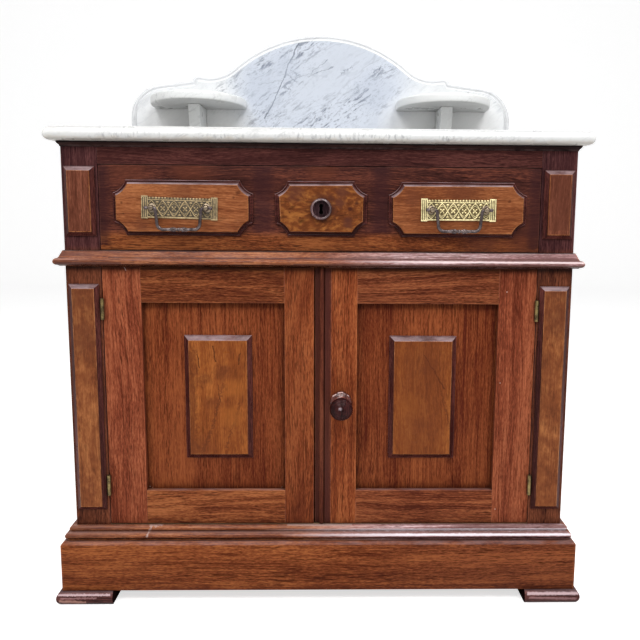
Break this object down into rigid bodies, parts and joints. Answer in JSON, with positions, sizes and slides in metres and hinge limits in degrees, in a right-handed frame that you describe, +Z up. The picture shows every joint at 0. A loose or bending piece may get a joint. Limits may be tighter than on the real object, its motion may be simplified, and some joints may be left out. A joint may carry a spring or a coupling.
{
  "type": "washstand",
  "caption": "Walnut washstand with a marble slab, shaped backsplash and soap shelves over a drawer and a cupboard with doors.",
  "frame": {"origin": "centre of the bounding box on the floor plane under the feet", "axes": "+Z up, front faces -Y, +X to the right as seen from the front"},
  "size_m": [0.7796, 0.4398, 0.8975],
  "materials": {
    "walnut": "satin shellac polish, red-brown walnut",
    "dark_walnut": "satin shellac polish, dark",
    "burl_walnut": "satin polish over figured veneer",
    "plain_wood": "bare sawn wood",
    "brass": "aged, dull",
    "aged_brass": "dark bronze patina",
    "marble": "polished white marble with grey veins"
  },
  "bodies": {
    "cabinet": {"front_feet": "walnut", "back_feet": "walnut", "plinth_front": "walnut", "plinth_sides": "walnut", "base_moulding_front": "walnut", "base_moulding_sides": "walnut", "post_front_left": "walnut", "post_front_right": "walnut", "post_back_left": "walnut", "post_back_right": "walnut", "side_rails_left": "walnut", "side_rails_right": "walnut", "side_panels_left": "walnut", "side_panels_right": "walnut", "back_boards": "plain_wood", "back_rail": "plain_wood", "cupboard_floor": "plain_wood", "top_rail": "dark_walnut", "divider_rail": "walnut", "drawer_runners": "plain_wood", "waist_moulding_front": "walnut", "waist_moulding_sides": "walnut", "cornice": "dark_walnut", "upper_post_panels": "burl_walnut", "lower_post_panels": "burl_walnut", "post_hinge_leaves": "brass", "marble_slab": "marble", "backsplash": "marble", "soap_shelves": "marble", "shelf_brackets": "marble"},
    "drawer": {"drawer_front": "dark_walnut", "drawer_side_left": "plain_wood", "drawer_side_right": "plain_wood", "drawer_back": "plain_wood", "drawer_bottom": "plain_wood", "end_drawer_panels": "burl_walnut", "centre_drawer_panel": "burl_walnut", "keyhole_ring": "dark_walnut", "lock_case": "brass", "bail_plates": "brass"},
    "lock_bolt": {"lock_bolt": "brass"},
    "bail_left": {"bail_left": "aged_brass"},
    "bail_right": {"bail_right": "aged_brass"},
    "left_door": {"left_door_stiles": "walnut", "left_door_rails": "walnut", "left_door_panel": "walnut", "left_raised_panel": "burl_walnut", "left_hinge_leaves": "brass", "door_bolt_guide": "brass"},
    "door_bolt": {"door_bolt": "brass"},
    "right_door": {"right_door_stiles": "walnut", "right_door_rails": "walnut", "right_door_panel": "walnut", "right_raised_panel": "burl_walnut", "right_hinge_leaves": "brass", "astragal": "walnut"},
    "door_knob": {"door_knob": "dark_walnut", "turn_latch": "walnut"}
  },
  "joints": [
    {"name": "drawer_slide", "type": "slide", "parent": "cabinet", "child": "drawer", "axis": [0, -1, 0], "range_m": [0, 0.27]},
    {"name": "lock_bolt_slide", "type": "slide", "parent": "drawer", "child": "lock_bolt", "axis": [0, 0, 1], "range_m": [0, 0.007]},
    {"name": "bail_left_swing", "type": "hinge", "parent": "drawer", "child": "bail_left", "pos_m": [-0.1975, -0.1887, 0.583], "axis": [-1, 0, 0], "range_deg": [0, 100]},
    {"name": "bail_right_swing", "type": "hinge", "parent": "drawer", "child": "bail_right", "pos_m": [0.1935, -0.1887, 0.583], "axis": [-1, 0, 0], "range_deg": [0, 100]},
    {"name": "left_door_hinge", "type": "hinge", "parent": "cabinet", "child": "left_door", "pos_m": [-0.312, -0.1707, 0.3085], "axis": [0, 0, -1], "range_deg": [0, 120]},
    {"name": "door_bolt_slide", "type": "slide", "parent": "left_door", "child": "door_bolt", "axis": [0, 0, 1], "range_m": [0, 0.008]},
    {"name": "right_door_hinge", "type": "hinge", "parent": "cabinet", "child": "right_door", "pos_m": [0.312, -0.1707, 0.3085], "axis": [0, 0, 1], "range_deg": [0, 120]},
    {"name": "door_knob_turn", "type": "hinge", "parent": "right_door", "child": "door_knob", "pos_m": [0.0295, -0.1676, 0.303], "axis": [0, 1, 0], "range_deg": [0, 90]}
  ]
}
